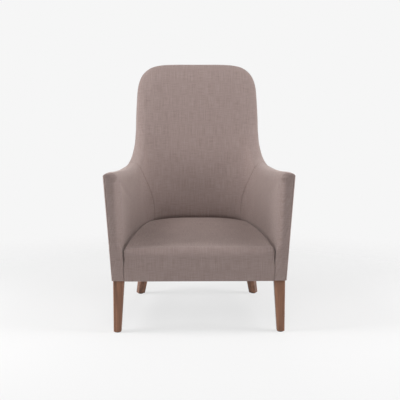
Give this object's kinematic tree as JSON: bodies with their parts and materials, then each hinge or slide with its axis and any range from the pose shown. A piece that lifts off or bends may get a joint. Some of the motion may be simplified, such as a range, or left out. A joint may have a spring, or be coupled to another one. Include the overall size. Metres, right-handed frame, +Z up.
{
  "type": "fireside chair",
  "caption": "Tall upholstered fireside chair: one curved tub of back and flared arms round a sprung seat, on square tapered wooden legs, the rear pair splayed.",
  "frame": {"origin": "on the floor, under the middle of the chair's box", "axes": "+Z up, the chair faces -Y, +X to the right as seen from the front"},
  "size_m": [0.7472, 0.7999, 1.0821],
  "materials": {
    "cover_fabric": "plain linen-look weave, taupe",
    "dust_cloth": "black spunbond cloth",
    "foam": "upholstery foam",
    "webbing": "woven webbing and insulator felt",
    "steel": "spring wire and fixings",
    "frame_wood": "unfinished beech",
    "leg_wood": "walnut stain, satin lacquer",
    "glide": "dark nylon"
  },
  "bodies": {
    "root": {"seat_cover": "cover_fabric", "inside_back_cover": "cover_fabric", "inside_arm_cover_left": "cover_fabric", "inside_arm_cover_right": "cover_fabric", "outside_arm_cover_left": "cover_fabric", "outside_arm_cover_right": "cover_fabric", "outside_back_cover": "cover_fabric", "dust_cover": "dust_cloth", "seat_pad": "foam", "back_pad": "foam", "arm_pad_left": "foam", "arm_pad_right": "foam", "spring_insulator": "webbing", "back_web_1": "webbing", "back_web_2": "webbing", "back_web_3": "webbing", "back_web_4": "webbing", "seat_spring_1": "steel", "seat_spring_2": "steel", "seat_spring_3": "steel", "seat_spring_4": "steel", "seat_spring_5": "steel", "spring_clip_strip_front": "steel", "spring_clip_strip_rear": "steel", "seat_rail_front": "frame_wood", "seat_rail_rear": "frame_wood", "seat_rail_left": "frame_wood", "seat_rail_right": "frame_wood", "corner_block_front_left": "frame_wood", "corner_block_front_right": "frame_wood", "corner_block_rear_left": "frame_wood", "corner_block_rear_right": "frame_wood", "arm_post_left": "frame_wood", "arm_post_right": "frame_wood", "back_post_left": "frame_wood", "back_post_right": "frame_wood", "arm_top_rail_left": "frame_wood", "arm_top_rail_right": "frame_wood", "stuff_rail_left": "frame_wood", "stuff_rail_right": "frame_wood", "back_stuff_rail": "frame_wood", "lumbar_rail": "frame_wood", "top_back_rail": "frame_wood", "leg_front_left": "leg_wood", "leg_front_right": "leg_wood", "leg_rear_left": "leg_wood", "leg_rear_right": "leg_wood", "glide_front_left": "glide", "glide_front_right": "glide", "glide_rear_left": "glide", "glide_rear_right": "glide", "leg_bolt_front_left": "steel", "leg_bolt_front_right": "steel", "leg_bolt_rear_left": "steel", "leg_bolt_rear_right": "steel", "leg_insert_front_left": "steel", "leg_insert_front_right": "steel", "leg_insert_rear_left": "steel", "leg_insert_rear_right": "steel"}
  },
  "joints": []
}
